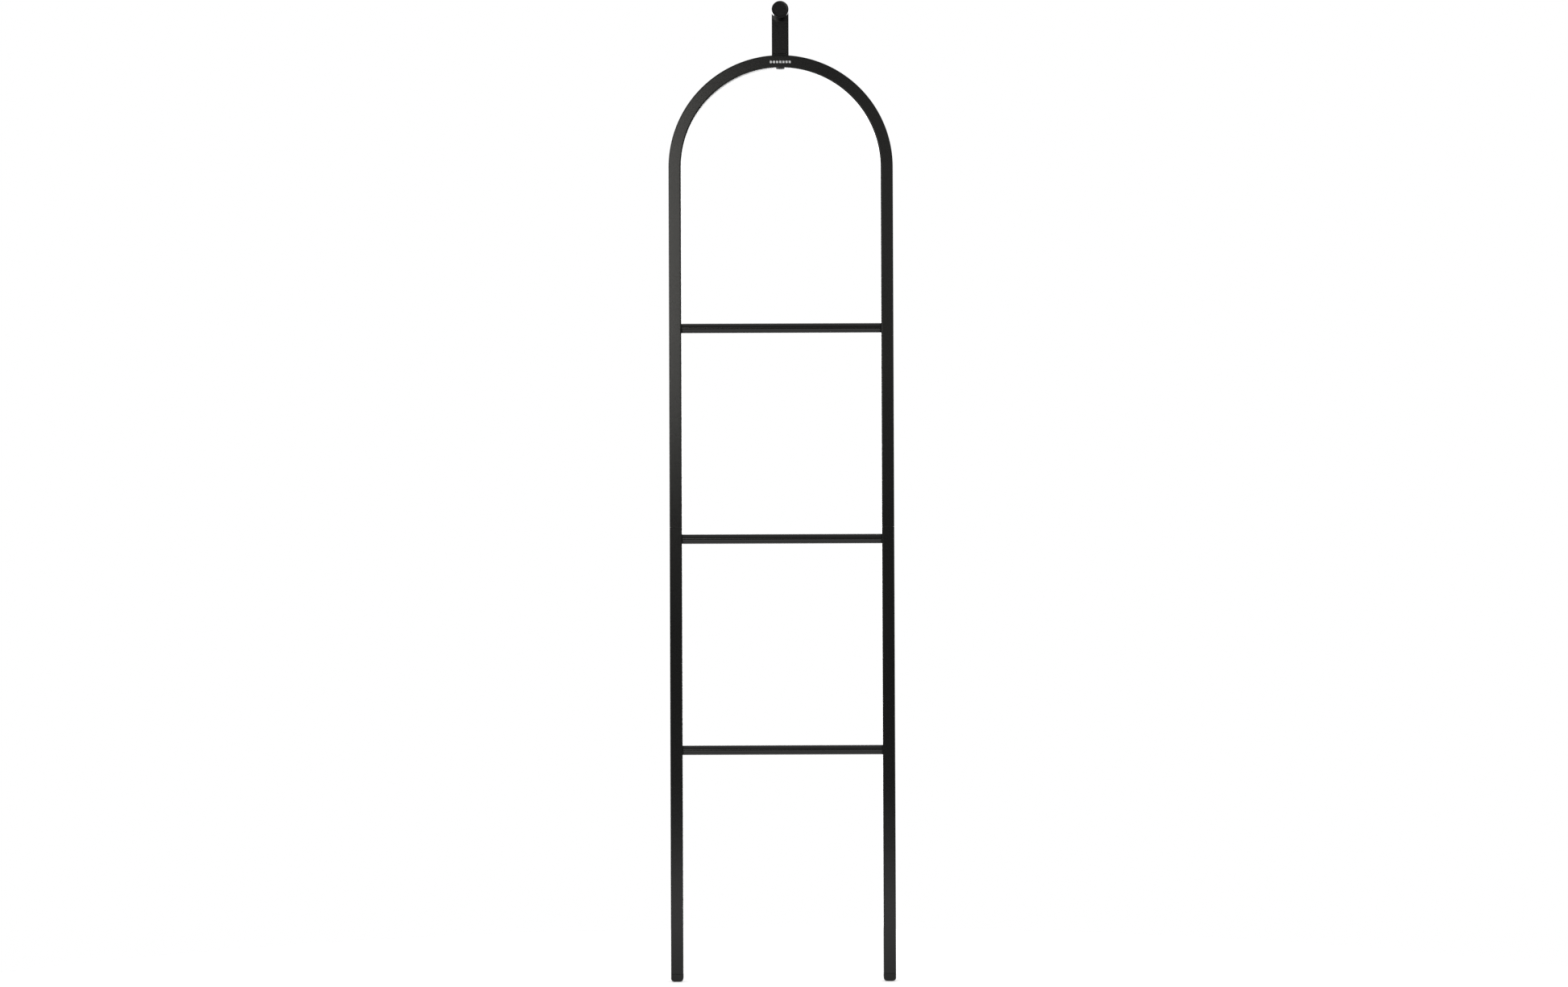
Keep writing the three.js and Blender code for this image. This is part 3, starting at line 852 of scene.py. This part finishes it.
def add_floor():
    """A round pale sheet under the ladder, that glows most in front of it."""
    mesh = bpy.data.meshes.new("floor")
    corners = []
    for index in range(FLOOR_FACETS):
        angle = TAU * index / FLOOR_FACETS
        across = FLOOR_RADIUS * math.cos(angle)
        corners.append((across, FLOOR_MIDDLE_Y + FLOOR_RADIUS * math.sin(angle), 0))
    mesh.from_pydata(corners, [], [tuple(range(len(corners)))])
    floor = bpy.data.objects.new("floor", mesh)
    bpy.context.scene.collection.objects.link(floor)
    nodes = Nodes("floor_paint")
    nodes.tint(nodes.spread(nodes.noise(3, 2), 0, 1), (0.93, 0.93, 0.93), (0.95, 0.95, 0.95))
    nodes.shader.inputs["Roughness"].default_value = 0.9
    nodes.shader.inputs["Specular IOR Level"].default_value = 0.1
    nodes.shader.inputs["Emission Color"].default_value = (1, 1, 1, 1)
    place = nodes.add("ShaderNodeTexCoord")
    parts = nodes.add("ShaderNodeSeparateXYZ")
    nodes.link(place.outputs["Object"], parts.inputs[0])
    glow = nodes.spread(
        parts.outputs["Y"], FLOOR_FRONT_GLOW, FLOOR_GLOW, FLOOR_GLOW_START_Y, FLOOR_GLOW_STOP_Y,
    )
    nodes.link(glow, nodes.shader.inputs["Emission Strength"])
    mesh.materials.append(nodes.material)


def add_softbox(name, place, size, power):
    data = bpy.data.lights.new(name, "AREA")
    data.shape = "RECTANGLE"
    data.size, data.size_y = size
    data.energy = power
    data.color = WARM_WHITE
    light = bpy.data.objects.new(name, data)
    light.location = place
    towards = Vector(LIGHT_AIM) - Vector(place)
    light.rotation_euler = towards.to_track_quat("-Z", "Y").to_euler()
    bpy.context.scene.collection.objects.link(light)


def smooth_step(tree, source, start, stop, low, high):
    step = tree.nodes.new("ShaderNodeMapRange")
    step.interpolation_type = "SMOOTHSTEP"
    step.inputs["From Min"].default_value = start
    step.inputs["From Max"].default_value = stop
    step.inputs["To Min"].default_value = low
    step.inputs["To Max"].default_value = high
    tree.links.new(source, step.inputs["Value"])
    return step.outputs["Result"]


def combine(tree, operation, first, second):
    node = tree.nodes.new("ShaderNodeMath")
    node.operation = operation
    tree.links.new(first, node.inputs[0])
    tree.links.new(second, node.inputs[1])
    return node.outputs[0]


def facing(tree, place, direction):
    """How far the looked-up direction agrees with the given one, as a cosine."""
    node = tree.nodes.new("ShaderNodeVectorMath")
    node.operation = "DOT_PRODUCT"
    node.inputs[1].default_value = direction
    tree.links.new(place.outputs["Generated"], node.inputs[0])
    return node.outputs["Value"]


def background(tree):
    node = tree.nodes.new("ShaderNodeBackground")
    node.inputs["Color"].default_value = (1, 1, 1, 1)
    node.inputs["Strength"].default_value = 1
    return node


CAMERA_SIDE = Vector((0.15, -1.0, 0.0)).normalized()
CAMERA_SIDE_EDGE = (0.45, 0.93)
CAMERA_SIDE_SHARE = 0.23
WALL_SIDE = Vector((-0.1, 1.0, 0.0)).normalized()
WALL_SIDE_EDGE = (0.965, 0.99)
WALL_SIDE_LEVEL = 3.0
HORIZON_EDGE = (-0.06, 0.03)
BELOW_SHARE = 0.05
ROOM_LEVEL = 0.9


def add_world():
    """Plain white where the camera looks past the object. What lights it is a bright studio
    that is dark on the camera's side and below the horizon, with a brighter patch on the
    wall's side."""
    world = bpy.data.worlds.new("studio")
    bpy.context.scene.world = world
    world.use_nodes = True
    tree = world.node_tree
    tree.nodes.clear()
    place = tree.nodes.new("ShaderNodeTexCoord")
    parts = tree.nodes.new("ShaderNodeSeparateXYZ")
    tree.links.new(place.outputs["Generated"], parts.inputs[0])
    to_camera = facing(tree, place, CAMERA_SIDE)
    camera_side = smooth_step(tree, to_camera, *CAMERA_SIDE_EDGE, 1, CAMERA_SIDE_SHARE)
    upwards = parts.outputs["Z"]
    horizon = smooth_step(tree, upwards, *HORIZON_EDGE, BELOW_SHARE * ROOM_LEVEL, ROOM_LEVEL)
    level = combine(tree, "MULTIPLY", camera_side, horizon)
    wall_side = smooth_step(tree, facing(tree, place, WALL_SIDE), *WALL_SIDE_EDGE, 0, WALL_SIDE_LEVEL)
    level = combine(tree, "ADD", level, wall_side)
    studio = background(tree)
    tree.links.new(level, studio.inputs["Strength"])
    mix = tree.nodes.new("ShaderNodeMixShader")
    path = tree.nodes.new("ShaderNodeLightPath")
    output = tree.nodes.new("ShaderNodeOutputWorld")
    tree.links.new(path.outputs["Is Camera Ray"], mix.inputs[0])
    tree.links.new(studio.outputs[0], mix.inputs[1])
    tree.links.new(background(tree).outputs[0], mix.inputs[2])
    tree.links.new(mix.outputs[0], output.inputs["Surface"])


def add_lights():
    add_world()
    add_softbox("key", **KEY)
    add_softbox("fill", **FILL)
    bpy.context.scene.view_settings.view_transform = "Standard"


# ---------------------------------------------------------------- the scene

add_camera()
add_floor()
add_lights()
add_hoop()
for rung in RUNGS:
    add_rung(rung)
for side_name, side_sign in SIDES:
    add_lower_rail(side_name, side_sign)
    add_foot(side_name)
    add_joint_screw(side_name)
    add_rivet(side_name)
add_post()
add_peg()
add_spacer()
add_wall_pad()
add_post_bolt()
for mark in range(MARK_COUNT):
    add_printed_mark(mark)
finish_inner_nodes()
